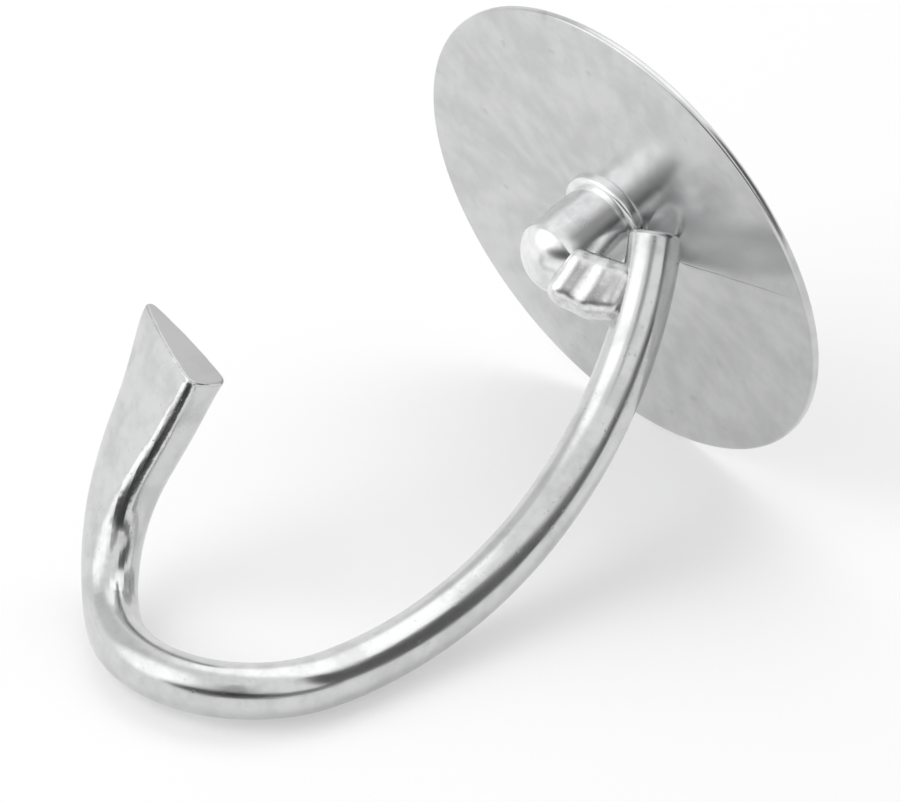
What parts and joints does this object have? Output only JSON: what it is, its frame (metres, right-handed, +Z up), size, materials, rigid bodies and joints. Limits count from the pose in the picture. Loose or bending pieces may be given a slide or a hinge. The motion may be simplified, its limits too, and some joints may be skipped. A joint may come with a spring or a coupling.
{
  "type": "stand mixer dough hook",
  "caption": "Steel dough hook for a stand mixer: a bent round rod with a forged blade, welded to a drive shaft that carries a flat round dough shield.",
  "frame": {"origin": "on the floor under the middle of the tool's box, as the tool comes to rest lying on its shield rim and its rod", "axes": "+Z up from the floor; +X the way the drive axis runs over the floor, from the shield towards the hook's bend; +Y to the side that the bow lies on"},
  "size_m": [0.1346, 0.092, 0.0897],
  "materials": {
    "shield_steel": "worn satin polish",
    "shaft_steel": "polished",
    "pin_steel": "ground",
    "rod_steel": "polished along its length",
    "weld_steel": "dressed and polished weld"
  },
  "bodies": {
    "root": {"dough_shield": "shield_steel", "drive_shaft": "shaft_steel", "drive_pin": "pin_steel", "hook_rod": "rod_steel", "weld_fillet": "weld_steel"}
  },
  "joints": []
}
